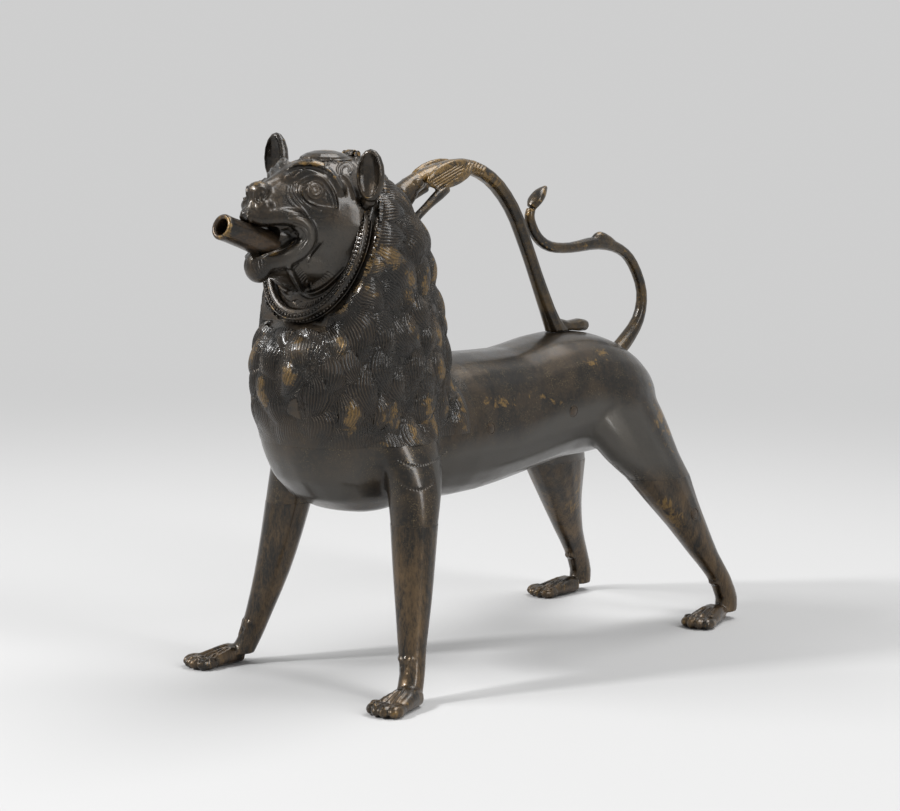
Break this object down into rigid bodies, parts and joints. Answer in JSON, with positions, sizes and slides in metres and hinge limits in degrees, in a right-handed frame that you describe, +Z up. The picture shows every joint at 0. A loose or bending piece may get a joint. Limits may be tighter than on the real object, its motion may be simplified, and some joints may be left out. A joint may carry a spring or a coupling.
{
  "type": "lion aquamanile",
  "caption": "Hollow cast bronze water vessel shaped as a standing lion, with a mouth spout, a hinged crown lid and a dragon-shaped handle.",
  "frame": {"origin": "middle of the footprint's bounding box on the ground plane under the paws", "axes": "+Z up; the lion faces -Y; its left side is +X"},
  "size_m": [0.1766, 0.3988, 0.3169],
  "materials": {
    "dark_bronze": "dark brown patinated cast bronze, glossy on rubbed high points",
    "brown_bronze": "brown patinated cast bronze, satin",
    "worn_bronze": "golden brown bronze rubbed by handling, satin",
    "spout_bronze": "dark bronze tube with a bright worn lip",
    "plug_bronze": "filed flush bronze plug, satin",
    "bright_pin": "bright worn metal pin"
  },
  "bodies": {
    "vessel": {"body_shell": "dark_bronze", "chest_shell": "dark_bronze", "neck_shell": "dark_bronze", "head_shell": "dark_bronze", "face_collar": "dark_bronze", "left_ear": "brown_bronze", "right_ear": "brown_bronze", "lid_hinge_pin": "bright_pin", "spout_tube": "spout_bronze", "front_left_leg": "dark_bronze", "front_right_leg": "dark_bronze", "hind_left_leg": "dark_bronze", "hind_right_leg": "dark_bronze", "dragon_handle": "worn_bronze", "dragon_left_wing": "worn_bronze", "dragon_right_wing": "worn_bronze", "dragon_left_foreleg": "worn_bronze", "dragon_right_foreleg": "worn_bronze", "lion_tail": "dark_bronze", "tail_tuft": "brown_bronze", "belly_patch": "plug_bronze", "core_plug_left_flank": "plug_bronze", "core_plug_right_flank": "plug_bronze", "core_plug_left_loin": "plug_bronze", "core_plug_right_loin": "plug_bronze", "core_plug_left_thigh": "plug_bronze", "core_plug_right_thigh": "plug_bronze"},
    "lid": {"filling_lid": "brown_bronze"}
  },
  "joints": [
    {"name": "lid_hinge", "type": "hinge", "parent": "vessel", "child": "lid", "pos_m": [0, -0.09761, 0.3054], "axis": [-1, 0, 0], "range_deg": [0, 100]}
  ]
}
